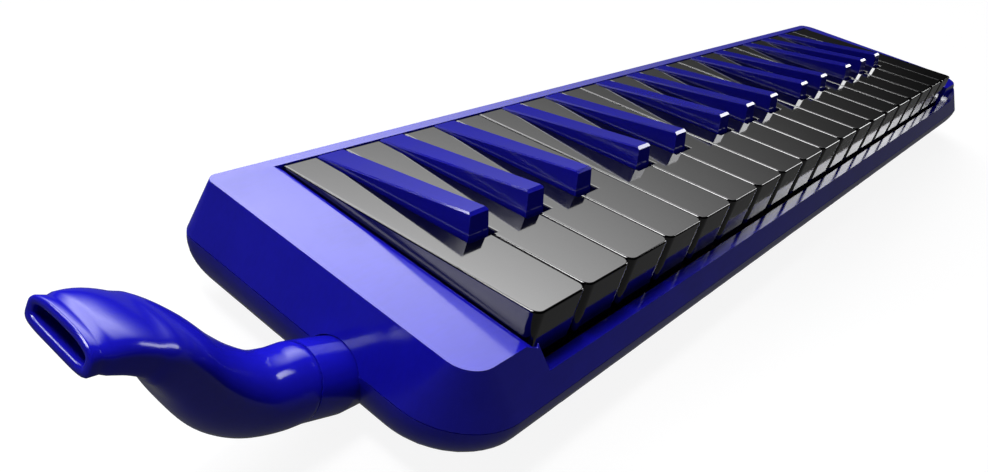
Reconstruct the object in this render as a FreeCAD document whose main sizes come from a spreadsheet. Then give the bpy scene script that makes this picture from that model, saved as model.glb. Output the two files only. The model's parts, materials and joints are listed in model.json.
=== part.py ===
"""Melodica with 32 keys (F3 to C6): casing, keyboard, valve deck, reed chamber and mouthpiece.

Lengths are millimetres. The driving sizes live in the spreadsheet Sizes. While it is
modelled, x = 0 is the left edge of the lowest natural key, y = 0 is the front of the
naturals and z = 0 is the top of the casing; to_row() then moves each piece so that the
origin is the centre of the flat underside, with +X towards the high notes, +Y towards
the back and +Z up.
"""
import FreeCAD, Part
import math
import os

import Sketcher

Vector = FreeCAD.Vector

os.makedirs("parts", exist_ok=True)
doc = FreeCAD.newDocument("Melodica")

# ---------------------------------------------------------------- driving sizes
SIZES = {
    # keyboard
    "key_pitch": 20.0,          # width of one natural with its gap
    "key_gap": 0.6,             # gap between two naturals
    "key_length": 82.4,         # front of the naturals to the tails
    "key_front_top": 6.7,       # height of the naturals' front above the casing
    "key_back_top": -0.1,       # height of the tails
    "key_skirt": -9.5,          # lower edge of a natural's front
    "key_wall": 1.5,            # wall of the hollow keys
    "key_skin": 1.8,            # thickness of the playing surface
    "key_corner": 2.4,          # rounding of a natural's front corners, seen from above
    "key_edge": 0.55,           # rounding of the top edges
    "lever_bottom": -8.3,       # lower edge of the key walls at the pivot
    "tail_start": 62.5,         # where the solid tail begins
    "tail_bottom": -7.6,        # underside of the tail, where the pad is glued
    "sharp_front": 29.7,        # front of the sharps
    "sharp_lean": 2.0,          # how far the front face leans back to the top
    "sharp_top": 10.3,          # height of the sharps' front edge
    "sharp_step": 2.2,          # height where the leaning front starts
    "sharp_front_half": 3.95,   # half width at the front
    "sharp_back_half": 4.8,     # half width at the back
    "sharp_draft": 0.066,       # side draft, width lost per unit of height
    "sharp_edge": 0.8,          # chamfer of the sharps' top front edge
    "sharp_side_edge": 0.4,     # chamfer of the sharps' long top edges
    "notch_half": 5.25,         # half width of the naturals' cut-outs
    "notch_front": 28.7,        # front edge of the cut-outs
    "outer_shift": 3.4,         # F# and A# stand this far from the boundary of the naturals
    "inner_shift": 2.4,         # the same for C# and D#
    # pivot, pads and springs
    "pivot_y": 58.0,
    "pivot_z": -6.0,
    "rod_radius": 1.25,
    "rod_clearance": 0.05,
    "post_wide": 3.0,
    "post_deep": 4.4,
    "post_top": -3.2,
    "pad_wide": 7.6,
    "pad_front": 65.0,
    "pad_long": 9.5,
    "pad_bottom": -9.45,
    "spring_thick": 0.4,
    "spring_wide": 3.0,
    "spring_strip": 45.0,
    "spring_tip": 38.0,
    "spring_gap": 0.6,
    "felt_thick": 1.6,
    "felt_back": 8.4,
    # valve deck with its cells
    "deck_top": -9.5,
    "deck_low_top": -16.6,
    "deck_bottom": -21.0,
    "deck_step": 53.0,
    "deck_front": 1.6,
    "deck_back": 82.4,
    "deck_left": 0.2,
    "deck_right": 379.8,
    "cell_wide": 9.2,
    "cell_front": 20.0,
    "cell_back": 75.0,
    "cell_roof": 1.4,
    "valve_wide": 5.4,
    "valve_front": 66.2,
    "valve_long": 7.2,
    # reed chamber
    "gasket_thick": 0.5,
    "plate_thick": 1.2,
    "reed_thick": 0.3,
    "reed_wide": 2.8,
    "reed_longest": 36.0,
    "reed_shortest": 14.0,
    "tray_left": -6.0,
    "tray_right": 386.0,
    "tray_front": 15.0,
    "tray_back": 76.2,
    "tray_bottom": -27.2,
    "tray_wall": 1.3,
    # casing
    "seam": -15.0,
    "seam_gap": 0.12,
    "case_bottom": -31.0,
    "case_wall": 1.9,
    "top_left": -20.8,
    "top_front": -1.0,
    "top_back": 86.0,
    "top_right_front": 412.0,
    "top_right_back": 388.0,
    "flare_left": 4.2,
    "flare_front": 6.2,
    "flare_back": 4.0,
    "flare_right": 13.0,
    "flare_right_back": 8.0,
    "belly": 14.5,              # how far the lower shell rolls under, from the seam to the underside
    "opening_left": -0.2,
    "opening_right": 380.4,
    "opening_front": -1.05,
    "opening_back": 82.9,
    "rail_top": -8.2,
    "rail_left": 5.5,
    "rail_left_top": 1.4,
    "ramp_start": 388.0,
    "ramp_end": 408.0,
    "strip_wide": 2.3,          # bevel strip beside the lowest key
    "strip_drop": 1.0,
    # wind inlet
    "inlet_x": -24.5,
    "inlet_y": 31.0,
    "inlet_z": -20.2,
    "inlet_tilt": 17.8,         # upward tilt of the inlet's axis, in degrees
    "boss_radius": 8.8,
    "boss_reach": 13.0,         # from the wall to the boss's face
    "boss_root": 9.0,           # from the wall to the boss's inner end
    "boss_root_radius": 7.2,
    "socket_outer": 5.9,
    "spigot_radius": 4.6,
    "spigot_long": 14.0,
    "spigot_bore": 3.3,
    "duct_radius": 3.6,
    "duct_end_z": -24.2,
    "mouth_wall": 1.5,
    # drain
    "drain_y": 50.0,
    "drain_z": -24.05,
    "drain_face": 407.0,        # face of the drain's boss
    "drain_travel": 2.5,
    "drain_hole": 1.0,
    "drain_seal_over": 0.65,    # how far the seal reaches past its hole
    "drain_boss": 5.2,
    "button_radius": 3.6,
    "stem_radius": 0.6,
    "coil_radius": 2.4,
    "coil_wire": 0.3,
    "coil_pitch": 1.6,
    # screws
    "post_radius": 3.6,
    "screw_radius": 1.3,
    "screw_bite": 4.0,
    "screw_recess": 3.4,
    "screw_head_radius": 2.6,
    "screw_head_thick": 1.8,
    "deck_screw_front": 11.2,
    "deck_screw_back": 80.0,
    "boss_left_x": -12.0,
    # placing of the finished pieces
    "centre_x": 190.0,
    "centre_y": 42.0,
}


class Size:
    """A length with both its number and the spreadsheet expression that gives it."""

    def __init__(self, value, text):
        self.value = float(value)
        self.text = text

    def joined(self, other, sign, value):
        return Size(value, f"({self.text} {sign} {other.text})")

    def __add__(self, other):
        other = as_size(other)
        return self.joined(other, "+", self.value + other.value)

    def __radd__(self, other):
        return as_size(other) + self

    def __sub__(self, other):
        other = as_size(other)
        return self.joined(other, "-", self.value - other.value)

    def __rsub__(self, other):
        return as_size(other) - self

    def __mul__(self, other):
        other = as_size(other)
        return self.joined(other, "*", self.value * other.value)

    def __rmul__(self, other):
        return as_size(other) * self

    def __truediv__(self, other):
        other = as_size(other)
        return self.joined(other, "/", self.value / other.value)

    def __rtruediv__(self, other):
        return as_size(other) / self

    def __neg__(self):
        return as_size(0) - self


def as_size(number):
    """A Size from a Size or a plain number."""
    if isinstance(number, Size):
        return number
    return Size(number, f"{float(number):.6g}" if number >= 0 else f"(0 - {abs(float(number)):.6g})")


def cosine(angle):
    return Size(math.cos(math.radians(angle.value)), f"cos({angle.text} * 1 deg)")


def sine(angle):
    return Size(math.sin(math.radians(angle.value)), f"sin({angle.text} * 1 deg)")


sheet = doc.addObject("Spreadsheet::Sheet", "Sizes")


class Named:
    """The spreadsheet's cells as attributes, such as d.key_pitch."""


d = Named()
for row, (alias, number) in enumerate(SIZES.items(), 1):
    sheet.set(f"A{row}", alias)
    sheet.set(f"B{row}", str(number))
    sheet.setAlias(f"B{row}", alias)
    setattr(d, alias, Size(number, f"Sizes.{alias}"))
doc.recompute()


# ---------------------------------------------------------------- solids from primitives
def bind(thing, path, amount):
    """Bind one property of a document object to the sheet."""
    thing.setExpression(path, as_size(amount).text)


def place(thing, x=0, y=0, z=0):
    for axis, amount in zip("xyz", (x, y, z)):
        bind(thing, f"Placement.Base.{axis}", amount)
    return thing


def box(x_range, y_range, z_range):
    """A block between two corners."""
    block = doc.addObject("Part::Box", "Block")
    for name, (low, high) in zip(("Length", "Width", "Height"), (x_range, y_range, z_range)):
        bind(block, name, as_size(high) - low)
    return place(block, x_range[0], y_range[0], z_range[0])


def wedge(x_range, y_range, bottom, front_top, back_top):
    """A block whose top slopes from front_top at the front to back_top at the back."""
    solid = doc.addObject("Part::Wedge", "Wedge")
    limits = {"Xmin": x_range[0], "Xmax": x_range[1], "X2min": x_range[0], "X2max": x_range[1],
              "Ymin": y_range[0], "Ymax": y_range[1], "Zmin": bottom, "Z2min": bottom,
              "Zmax": front_top, "Z2max": back_top}
    for name, amount in limits.items():
        bind(solid, name, amount)
    return solid


def rod(radius, length, x, y, z, axis=Vector(0, 0, 1)):
    """A cylinder from a point along a main axis."""
    solid = doc.addObject("Part::Cylinder", "Rod")
    solid.Placement = FreeCAD.Placement(Vector(), FreeCAD.Rotation(Vector(0, 0, 1), axis))
    bind(solid, "Radius", radius)
    bind(solid, "Height", length)
    return place(solid, x, y, z)


def group(solids, name="Group"):
    """Separate solids that make one named node."""
    compound = doc.addObject("Part::Compound", name)
    compound.Links = solids
    return compound


def fuse(*solids):
    if len(solids) == 1:
        return solids[0]
    union = doc.addObject("Part::MultiFuse", "Union")
    union.Shapes = list(solids)
    return union


def cut(base, *tools):
    """The base without the tools."""
    result = doc.addObject("Part::Cut", "Cut")
    result.Base = base
    result.Tool = fuse(*tools)
    return result


def rounded(base, picks, kind="Part::Fillet"):
    """Round or chamfer edges: picks is a list of (test on an edge, radius)."""
    doc.recompute()
    chosen = []
    for number, edge in enumerate(base.Shape.Edges, 1):
        for test, radius in picks:
            if test(edge):
                chosen.append((number, radius, radius))
                break
    if not chosen:
        raise ValueError("no edge to round on " + base.Name)
    result = doc.addObject(kind, "Round")
    result.Base = base
    result.Edges = chosen
    return result


def middle(edge):
    """The point halfway along an edge."""
    return edge.valueAt((edge.FirstParameter + edge.LastParameter) / 2)


def runs_along(edge, axis):
    """Whether a straight edge runs along x, y or z."""
    ends = edge.Vertexes
    if len(ends) != 2:
        return False
    step = ends[1].Point - ends[0].Point
    return abs(getattr(step, axis)) > 0.999 * step.Length > 0


# ---------------------------------------------------------------- sketched bodies
PLANES = {"xy": "XY_Plane", "xz": "XZ_Plane", "yz": "YZ_Plane"}


def new_body(name):
    return doc.addObject("PartDesign::Body", name)


def new_sketch(body, plane, offset=0):
    """A sketch on one of the body's own origin planes, moved along the plane's normal."""
    sketch = body.newObject("Sketcher::SketchObject", "Sketch")
    role = PLANES[plane]
    datum = [item for item in body.Origin.OriginFeatures if item.Role == role][0]
    sketch.AttachmentSupport = [(datum, "")]
    sketch.MapMode = "FlatFace"
    bind(sketch, ".AttachmentOffset.Base.z", offset)
    return sketch


def pin_point(sketch, line, end, point):
    """Fix a line's end at a point given in sheet sizes."""
    for kind, amount in zip(("DistanceX", "DistanceY"), point):
        amount = as_size(amount)
        number = sketch.addConstraint(Sketcher.Constraint(kind, -1, 1, line, end, amount.value))
        sketch.setExpression(f"Constraints[{number}]", amount.text)


def corner_vectors(points):
    return [Vector(as_size(x).value, as_size(y).value, 0) for x, y in points]


def polygon(sketch, points, construction=False):
    """A closed outline through points in sheet sizes; gives the numbers of its lines."""
    spots = corner_vectors(points)
    lines = []
    for start, end in zip(spots, spots[1:] + spots[:1]):
        lines.append(sketch.addGeometry(Part.LineSegment(start, end), construction))
    for line, after in zip(lines, lines[1:] + lines[:1]):
        sketch.addConstraint(Sketcher.Constraint("Coincident", line, 2, after, 1))
    for line, point in zip(lines, points):
        pin_point(sketch, line, 1, point)
    return lines


def rounded_polygon(sketch, points, radii):
    """A convex outline with rounded corners, hung on a construction polygon."""
    frame = polygon(sketch, points, construction=True)
    spots = corner_vectors(points)
    count = len(spots)
    arcs, starts, ends = [], [], []
    for index, corner in enumerate(spots):
        radius = as_size(radii[index]).value
        back = (spots[index - 1] - corner).normalize()
        ahead = (spots[(index + 1) % count] - corner).normalize()
        half = back.getAngle(ahead) / 2
        reach = radius / math.tan(half)
        centre = corner + (back + ahead).normalize() * (radius / math.sin(half))
        first, last = corner + back * reach, corner + ahead * reach
        begin = math.atan2(first.y - centre.y, first.x - centre.x)
        finish = math.atan2(last.y - centre.y, last.x - centre.x)
        circle = Part.Circle(centre, Vector(0, 0, 1), radius)
        arcs.append(sketch.addGeometry(Part.ArcOfCircle(circle, begin, finish), False))
        starts.append(first)
        ends.append(last)
    for index in range(count):
        after = (index + 1) % count
        line = sketch.addGeometry(Part.LineSegment(ends[index], starts[after]), False)
        for end in (1, 2):
            sketch.addConstraint(Sketcher.Constraint("PointOnObject", line, end, frame[index]))
        sketch.addConstraint(Sketcher.Constraint("Tangent", arcs[index], 2, line, 1))
        sketch.addConstraint(Sketcher.Constraint("Tangent", line, 2, arcs[after], 1))
    for arc, radius in zip(arcs, radii):
        radius = as_size(radius)
        number = sketch.addConstraint(Sketcher.Constraint("Radius", arc, radius.value))
        sketch.setExpression(f"Constraints[{number}]", radius.text)


def rectangle(x_range, y_range):
    """The corners of a rectangle, anticlockwise."""
    (x0, x1), (y0, y1) = x_range, y_range
    return [(x0, y0), (x1, y0), (x1, y1), (x0, y1)]


def pad(body, outlines, plane, offset, length, feature="PartDesign::Pad"):
    """Pad or pocket closed outlines from an offset plane, along the plane's normal."""
    sketch = new_sketch(body, plane, offset)
    for points in outlines:
        polygon(sketch, points)
    result = body.newObject(feature, feature.split("::")[1])
    result.Profile = sketch
    bind(result, "Length", length)
    if feature == "PartDesign::Pocket":
        result.Reversed = True
    body.Tip = result
    return result


def pocket(body, outlines, plane, offset, length):
    """Cut closed outlines from an offset plane, along the plane's normal."""
    doc.recompute()
    before = body.Shape.Volume
    result = pad(body, outlines, plane, offset, length, "PartDesign::Pocket")
    doc.recompute()
    if not body.Shape.Volume < before - 0.01:
        raise ValueError("the pocket cuts nothing in " + body.Name)
    return result


def loft(body, sketches, feature="PartDesign::AdditiveLoft"):
    result = body.newObject(feature, "Loft")
    result.Profile = sketches[0]
    result.Sections = sketches[1:]
    result.Ruled = True
    body.Tip = result
    return result


# ---------------------------------------------------------------- handing in
nodes = []


def to_row(thing, name):
    """Name a finished piece and move it into the object's own frame."""
    thing.Label = name
    for axis, amount in zip("xyz", (-d.centre_x, -d.centre_y, -d.case_bottom)):
        bind(thing, f"Placement.Base.{axis}", amount)
    nodes.append(thing)
    return thing


# ---------------------------------------------------------------- keyboard layout
NATURALS = "FGABCDE"
FIRST_OCTAVE = 3
NATURAL_COUNT = 19


def natural_letter(index):
    return NATURALS[index % 7]


def octave_of(index):
    """Octave number of a natural; it changes at each C."""
    return FIRST_OCTAVE + (index + 3) // 7


def sharp_centre(index):
    """Centre of the sharp above natural number index, or None where there is none."""
    shifts = {"F": -d.outer_shift, "G": 0, "A": d.outer_shift, "C": -d.inner_shift, "D": d.inner_shift}
    letter = natural_letter(index)
    if letter not in shifts or index == NATURAL_COUNT - 1:
        return None
    return d.key_pitch * (index + 1) + shifts[letter]


def natural_tail(index):
    """The x range that a natural's tail keeps between the sharps."""
    left = d.key_pitch * index + d.key_gap / 2
    right = d.key_pitch * (index + 1) - d.key_gap / 2
    before = sharp_centre(index - 1) if index else None
    after = sharp_centre(index)
    if before:
        left = before + d.notch_half
    if after:
        right = after - d.notch_half
    return left, right


def natural_top(y):
    """Height of the naturals' playing surface at a distance from the front."""
    return d.key_front_top + (d.key_back_top - d.key_front_top) * (as_size(y) / d.key_length)


def pivot_bore(x_range):
    """The hole for the pivot rod, right through a key."""
    low, high = x_range
    radius = d.rod_radius + d.rod_clearance
    return rod(radius, high - low + 2, low - 1, d.pivot_y, d.pivot_z, Vector(1, 0, 0))


def valve_pad(centre):
    """The soft pad under a key's tail."""
    half = d.pad_wide / 2
    return box((centre - half, centre + half), (d.pad_front, d.pad_front + d.pad_long),
               (d.pad_bottom, d.tail_bottom))


def natural_key(index):
    """A hollow natural: sloping top, cut-outs for the sharps, pivot bore and valve pad."""
    left = d.key_pitch * index + d.key_gap / 2
    right = d.key_pitch * (index + 1) - d.key_gap / 2
    tail_left, tail_right = natural_tail(index)
    below = d.key_skirt - 1
    outer = wedge((left, right), (0, d.key_length), d.key_skirt, d.key_front_top, d.key_back_top)
    front_end = d.notch_front - d.key_wall
    tools = [
        wedge((left + d.key_wall, right - d.key_wall), (d.key_wall, front_end), below,
              natural_top(d.key_wall) - d.key_skin, natural_top(front_end) - d.key_skin),
        wedge((tail_left + d.key_wall, tail_right - d.key_wall), (front_end - 1, d.tail_start), below,
              natural_top(front_end - 1) - d.key_skin, natural_top(d.tail_start) - d.key_skin),
        box((left - 1, right + 1), (d.cell_front - 6, d.key_length + 1), (below, d.lever_bottom)),
        box((left - 1, right + 1), (d.tail_start, d.key_length + 1), (below, d.tail_bottom)),
        pivot_bore((left, right)),
    ]
    above = d.key_front_top + 1
    if tail_left.value > left.value:
        tools.append(box((left - 1, tail_left), (d.notch_front, d.key_length + 1), (below, above)))
    if tail_right.value < right.value:
        tools.append(box((tail_right, right + 1), (d.notch_front, d.key_length + 1), (below, above)))
    shape = cut(outer, *tools)
    slope = (d.key_back_top.value - d.key_front_top.value) / d.key_length.value

    def on_top(edge):
        spots = [vertex.Point for vertex in edge.Vertexes]
        return all(abs(spot.z - d.key_front_top.value - slope * spot.y) < 0.01 for spot in spots)

    def front_corner(edge):
        return runs_along(edge, "z") and abs(middle(edge).y) < 0.01

    shape = rounded(shape, [(front_corner, d.key_corner.value), (on_top, d.key_edge.value)])
    centre = (tail_left + tail_right) / 2
    name = f"natural_key_{natural_letter(index).lower()}{octave_of(index)}"
    to_row(group([shape, valve_pad(centre)]), name)
    return centre


def sharp_section(half, step):
    """Half outline of a sharp across its length: straight below, drafted above."""
    top = d.sharp_top + 2
    upper_half = half - d.sharp_draft * (top - step)
    return [(-half, d.lever_bottom), (half, d.lever_bottom), (half, step),
            (upper_half, top), (-upper_half, top), (-half, step)]


def sharp_key(index):
    """A sharp: tapering, drafted wedge with a leaning front, pivot bore and valve pad."""
    centre = sharp_centre(index)
    body = new_body("Sharp")
    sections = []
    for y, half, step in ((d.sharp_front, d.sharp_front_half, d.sharp_step),
                          (d.key_length, d.sharp_back_half, as_size(-0.5))):
        sketch = new_sketch(body, "xz", -y)
        polygon(sketch, [(centre + x, z) for x, z in sharp_section(half, step)])
        sections.append(sketch)
    loft(body, sections)
    high = d.sharp_top + 5
    top_front = d.sharp_front + d.sharp_lean
    above = [(d.sharp_front - 2, d.sharp_step), (d.sharp_front, d.sharp_step), (top_front, d.sharp_top),
             (d.key_length, 0), (d.key_length + 2, 0), (d.key_length + 2, high), (d.sharp_front - 2, high)]
    pocket(body, [above], "yz", centre - 8, 16)
    inner = d.sharp_front_half - d.key_wall
    hollow_front = d.sharp_front + d.key_wall + 1
    ceiling = [(hollow_front, d.lever_bottom - 1), (d.tail_start, d.lever_bottom - 1),
               (d.tail_start, 0), (hollow_front, natural_top(hollow_front) - d.key_skin)]
    pocket(body, [ceiling], "yz", centre - inner, inner * 2)
    below_tail = rectangle((d.tail_start, d.key_length + 1), (d.lever_bottom - 1, d.tail_bottom))
    pocket(body, [below_tail], "yz", centre - 8, 16)
    shape = cut(body, pivot_bore((centre - 6, centre + 6)))

    def front_edge(edge):
        spot = middle(edge)
        return spot.z > d.sharp_top.value - 0.05 and spot.y < top_front.value + 0.05

    def long_top(edge):
        spots = [vertex.Point for vertex in edge.Vertexes]
        slope = d.sharp_top.value / (d.key_length.value - top_front.value)
        heights = [slope * (d.key_length.value - spot.y) - spot.z for spot in spots]
        return max(map(abs, heights)) < 0.02 and abs(spots[0].y - spots[1].y) > 5

    shape = rounded(shape, [(front_edge, d.sharp_edge.value), (long_top, d.sharp_side_edge.value)],
                    "Part::Chamfer")
    name = f"sharp_key_{natural_letter(index).lower()}s{octave_of(index)}"
    to_row(group([shape, valve_pad(centre)]), name)
    return centre


valve_centres = []
for index in range(NATURAL_COUNT):
    valve_centres.append(natural_key(index))
    if sharp_centre(index):
        valve_centres.append(sharp_key(index))

# ---------------------------------------------------------------- pivot, springs and felt
END_POSTS = (0, 3, 6, 9, 12, 15, 18)      # naturals whose hollow tails hide a rod post


def rod_posts():
    """Posts of the valve deck that carry the pivot rod inside hollow naturals."""
    posts = []
    for index in END_POSTS:
        left, right = natural_tail(index)
        centre = (left + right) / 2
        half = d.post_wide / 2
        posts.append(box((centre - half, centre + half),
                         (d.pivot_y - d.post_deep / 2, d.pivot_y + d.post_deep / 2),
                         (d.deck_top - 0.5, d.post_top)))
    return posts


ROD_LEFT = d.deck_left + 0.6
ROD_RIGHT = d.deck_right - 0.6
to_row(group([rod(d.rod_radius, ROD_RIGHT - ROD_LEFT, ROD_LEFT, d.pivot_y, d.pivot_z, Vector(1, 0, 0))]),
       "key_pivot_rod")


def spring_comb():
    """One steel comb: a strip on the deck with an inclined finger under every key."""
    base = d.deck_low_top
    strip = box((d.deck_left + 1, d.deck_right - 1), (d.spring_strip, d.deck_step - 1),
                (base, base + d.spring_thick))
    rise = (natural_top(d.spring_tip) - d.key_skin - d.spring_gap - base).value
    run = (d.spring_strip - d.spring_tip).value
    tilt = FreeCAD.Rotation(Vector(1, 0, 0), -math.degrees(math.atan2(rise, run)))
    parts = [strip]
    for centre in valve_centres:
        leaf = doc.addObject("Part::Box", "Finger")
        leaf.Placement = FreeCAD.Placement(Vector(), FreeCAD.Rotation(Vector(0, 0, 1), 180) * tilt.inverted())
        bind(leaf, "Length", d.spring_wide)
        leaf.Width = math.hypot(rise, run)
        bind(leaf, "Height", d.spring_thick)
        parts.append(place(leaf, centre + d.spring_wide / 2, d.spring_strip + 0.2, base))
    to_row(fuse(*parts), "key_spring_comb")


spring_comb()
to_row(group([box((d.deck_left + 0.4, d.deck_right - 0.4), (d.deck_front + 0.2, d.felt_back),
                  (d.deck_low_top, d.deck_low_top + d.felt_thick))]), "key_stop_felt")

# ---------------------------------------------------------------- valve deck and reeds
DECK_SCREWS_X = [d.centre_x + offset for offset in (-182.0, -61.0, 61.0, 182.0)]
DECK_SCREWS_Y = (d.deck_screw_front, d.deck_screw_back)
TRAY_SCREWS_X = [d.centre_x + offset for offset in (-170.0, -85.0, 0.0, 85.0, 170.0)]


def cell_blocks(front, back, z_range, shrink=0):
    """One block per key between two distances from the front."""
    half = d.cell_wide / 2 - shrink
    return [box((centre - half, centre + half), (front, back), z_range) for centre in valve_centres]


def valve_deck():
    """The moulded deck: a low front floor, a raised rear with valve holes, and the cells."""
    x_range = (d.deck_left, d.deck_right)
    floor = box(x_range, (d.deck_front, d.deck_step + 1), (d.deck_bottom, d.deck_low_top))
    rear = box(x_range, (d.deck_step, d.deck_back), (d.deck_bottom, d.deck_top))
    below = d.deck_bottom - 1
    cells = cell_blocks(d.cell_front, d.cell_back, (below, d.deck_low_top - d.cell_roof))
    cells += cell_blocks(d.deck_step + d.cell_roof, d.cell_back, (below, d.deck_top - d.cell_roof))
    half = d.valve_wide / 2
    valves = [box((centre - half, centre + half), (d.valve_front, d.valve_front + d.valve_long),
                  (d.deck_top - 3, d.deck_top + 1)) for centre in valve_centres]
    bores = [rod(d.screw_radius, d.screw_bite, x, y, d.deck_bottom - 0.01)
             for x in DECK_SCREWS_X for y in DECK_SCREWS_Y]
    rod_bore = rod(d.rod_radius + d.rod_clearance, 400, -5, d.pivot_y, d.pivot_z, Vector(1, 0, 0))
    to_row(cut(fuse(floor, rear, *rod_posts()), rod_bore, *cells, *valves, *bores), "valve_deck")


valve_deck()


def layer(name, bottom, top, x_range, openings):
    """A flat sheet under the deck, inside the chamber, with openings cut through it."""
    sheet_blank = box(x_range, (d.tray_front + d.tray_wall + 0.4, d.tray_back - d.tray_wall - 0.4),
                      (bottom, top))
    to_row(cut(sheet_blank, *openings), name)


GASKET_BOTTOM = d.deck_bottom - d.gasket_thick
PLATE_BOTTOM = GASKET_BOTTOM - d.plate_thick
CHAMBER_LEFT = d.tray_left + d.tray_wall + 0.4
CHAMBER_RIGHT = d.tray_right - d.tray_wall - 0.4
layer("cell_gasket", GASKET_BOTTOM, d.deck_bottom, (d.deck_left, d.deck_right),
      cell_blocks(d.cell_front, d.cell_back - 0.6, (GASKET_BOTTOM - 1, d.deck_bottom + 1), 0.3))


def reed_length(number):
    """Free length of a reed: it shortens evenly from the lowest note to the highest."""
    step = (d.reed_longest - d.reed_shortest) / (len(valve_centres) - 1)
    return d.reed_longest - step * number


REED_FRONT = d.cell_front + 6.0


def reed_slot(number):
    half = d.reed_wide / 2 + 0.1
    centre = valve_centres[number]
    return box((centre - half, centre + half), (REED_FRONT, REED_FRONT + reed_length(number)),
               (PLATE_BOTTOM - 1, GASKET_BOTTOM + 1))


def reed(number):
    """A brass tongue over its slot, with the rivet that holds its root."""
    half = d.reed_wide / 2
    centre = valve_centres[number]
    low = PLATE_BOTTOM - d.reed_thick
    root = REED_FRONT + reed_length(number) + 5
    tongue = box((centre - half, centre + half), (REED_FRONT + 0.2, root), (low, PLATE_BOTTOM))
    rivet = rod(1.1, 0.5, centre, root - 2.2, low - 0.5)
    return fuse(tongue, rivet)


half_count = len(valve_centres) // 2
plate_split = (valve_centres[half_count - 1] + valve_centres[half_count]) / 2
REED_SETS = {
    "low": (range(half_count), (d.deck_left + 0.5, plate_split - 0.3)),
    "high": (range(half_count, len(valve_centres)), (plate_split + 0.3, d.deck_right - 0.5)),
}
for register, (numbers, x_range) in REED_SETS.items():
    layer(f"reed_plate_{register}", PLATE_BOTTOM, GASKET_BOTTOM, x_range,
          [reed_slot(number) for number in numbers])
    to_row(group([reed(number) for number in numbers]), f"reeds_{register}")


def chamber_cover():
    """The wind chamber: a shallow tray under the reed plates, with wind inlet and drain hole."""
    wall = d.tray_wall
    outer = box((d.tray_left, d.tray_right), (d.tray_front, d.tray_back), (d.tray_bottom, d.deck_bottom))
    inner = box((d.tray_left + wall, d.tray_right - wall), (d.tray_front + wall, d.tray_back - wall),
                (d.tray_bottom + wall, d.deck_bottom + 1))
    end_roofs = [box(x_range, (d.tray_front, d.tray_back), (d.deck_bottom - 1.2, d.deck_bottom))
                 for x_range in ((d.tray_left, d.deck_left), (d.deck_right, d.tray_right))]
    inlet = box((d.tray_left - 1, d.tray_left + wall + 0.5), (d.inlet_y - 6.4, d.inlet_y + 6.4),
                (d.duct_end_z - 1.6, d.duct_end_z + 1.6))
    drain = rod(d.drain_hole, wall + 2, d.tray_right - wall - 1, d.drain_y, d.drain_z, Vector(1, 0, 0))
    shell = fuse(cut(outer, inner), *end_roofs)
    to_row(cut(shell, inlet, drain), "chamber_cover")


chamber_cover()


def screw(x, y, head_z, long, head_radius, shank_radius, head_thick):
    """A pan-headed screw driven upwards, with a cross recess in its head."""
    head = rod(head_radius, head_thick, x, y, head_z)
    shank = rod(shank_radius, long, x, y, as_size(head_z) + head_thick)
    slot, depth = head_radius * 0.55, head_thick * 0.5
    cross = [box((x - slot, x + slot), (y - 0.3, y + 0.3), (head_z, head_z + depth)),
             box((x - 0.3, x + 0.3), (y - slot, y + slot), (head_z, head_z + depth))]
    return cut(fuse(head, shank), *cross)


SCREW_SEAT = d.case_bottom + d.screw_recess
to_row(group([screw(x, y, SCREW_SEAT - d.screw_head_thick,
                    d.deck_bottom - SCREW_SEAT + d.screw_bite - 0.3,
                    d.screw_head_radius, d.screw_radius - 0.05, d.screw_head_thick)
              for x in DECK_SCREWS_X for y in DECK_SCREWS_Y]), "deck_screws")

# ---------------------------------------------------------------- casing
END_BOSSES = [(d.boss_left_x, 12.0), (d.boss_left_x, 74.0), (as_size(392.0), 12.0), (as_size(391.0), 70.0)]


def case_outline(body, z, left, front, back, right_front, right_back, radii):
    sketch = new_sketch(body, "xy", z)
    points = [(left, front), (right_front, front), (right_back, back), (left, back)]
    rounded_polygon(sketch, points, radii)
    return sketch


def top_outline(body, z, inset=0, radii=(7.0, 12.0, 9.0, 3.0)):
    return case_outline(body, z, d.top_left + inset, d.top_front + inset, d.top_back - inset,
                        d.top_right_front - inset, d.top_right_back - inset, radii)


def seam_outline(body, z, inset=0, radii=(19.0, 15.0, 14.0, 7.0)):
    return case_outline(body, z, d.top_left - d.flare_left + inset, d.top_front - d.flare_front + inset,
                        d.top_back + d.flare_back - inset,
                        d.top_right_front + d.flare_right - inset,
                        d.top_right_back + d.flare_right_back - inset, radii)


def inlet_point(along):
    """A point on the wind inlet's axis, measured inwards from the wall."""
    return (d.inlet_x + along * cosine(d.inlet_tilt), d.inlet_y,
            d.inlet_z - along * sine(d.inlet_tilt))


def on_inlet(solid, along):
    """Stand a round solid on the inlet's axis, growing outwards."""
    solid.Placement = FreeCAD.Placement(Vector(), FreeCAD.Rotation(Vector(0, 1, 0), -60))
    bind(solid, "Placement.Rotation.Angle", (90 - d.inlet_tilt) * -1)
    return place(solid, *inlet_point(as_size(along)))


def inlet_rod(radius, inner, outer):
    """A cylinder on the inlet's axis between two distances from the wall (inwards positive)."""
    solid = doc.addObject("Part::Cylinder", "InletRod")
    bind(solid, "Radius", radius)
    bind(solid, "Height", as_size(inner) - outer)
    return on_inlet(solid, inner)


def inlet_cone(inner_radius, outer_radius, inner, outer):
    solid = doc.addObject("Part::Cone", "InletCone")
    bind(solid, "Radius1", inner_radius)
    bind(solid, "Radius2", outer_radius)
    bind(solid, "Height", as_size(inner) - outer)
    return on_inlet(solid, inner)


SEAT_DEPTH = 0.7                 # thickness of the lip that keeps the seal ring in the boss


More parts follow.
